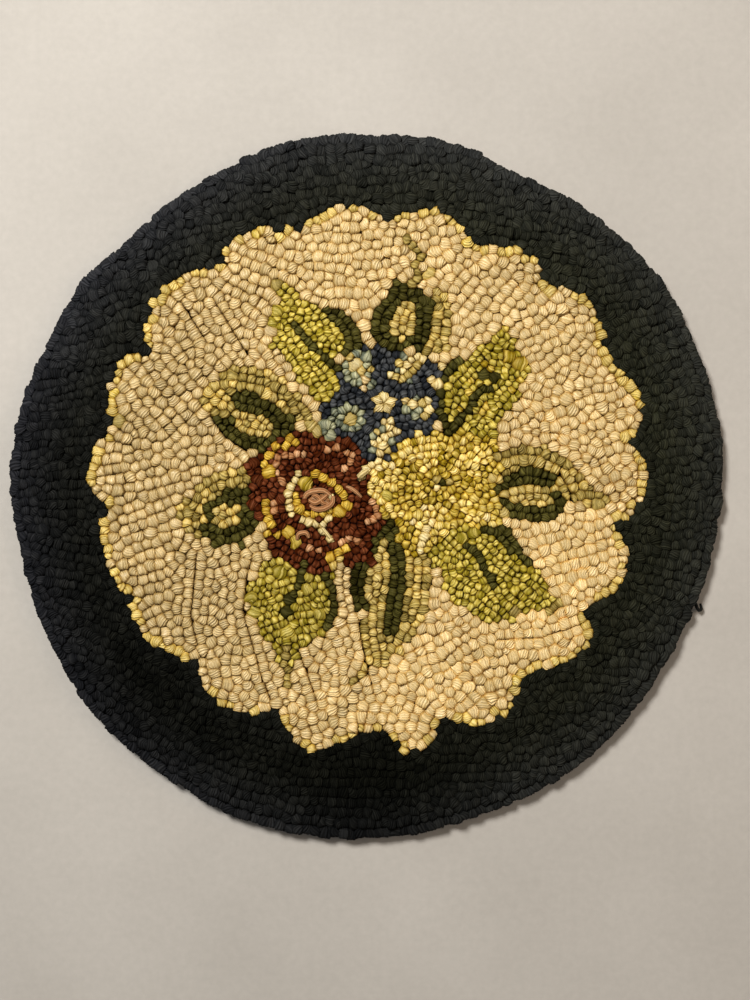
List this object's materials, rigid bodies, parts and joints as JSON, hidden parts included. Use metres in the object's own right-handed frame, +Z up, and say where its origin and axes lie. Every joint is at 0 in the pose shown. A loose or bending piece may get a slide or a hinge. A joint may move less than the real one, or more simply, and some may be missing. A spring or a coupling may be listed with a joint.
{
  "type": "hooked chair pad",
  "caption": "Round flat hooked wool chair pad with a dark border, a scalloped pale field and a floral spray.",
  "frame": {"origin": "on the flat underside, under the middle of the pad's box", "axes": "+Z up out of the loops, +X to the right across the pattern, +Y towards the top of the pattern"},
  "size_m": [0.36, 0.3556, 0.0096],
  "materials": {
    "ecru_wool": "matt looped wool pile",
    "charcoal_wool": "matt looped wool pile",
    "gold_wool": "matt looped wool pile",
    "red_wool": "matt looped wool pile",
    "blue_wool": "matt looped wool pile",
    "green_wool": "matt looped wool pile",
    "foundation_cloth": "plain woven cotton"
  },
  "bodies": {
    "root": {"hooked_pad": "ecru_wool"}
  },
  "joints": []
}
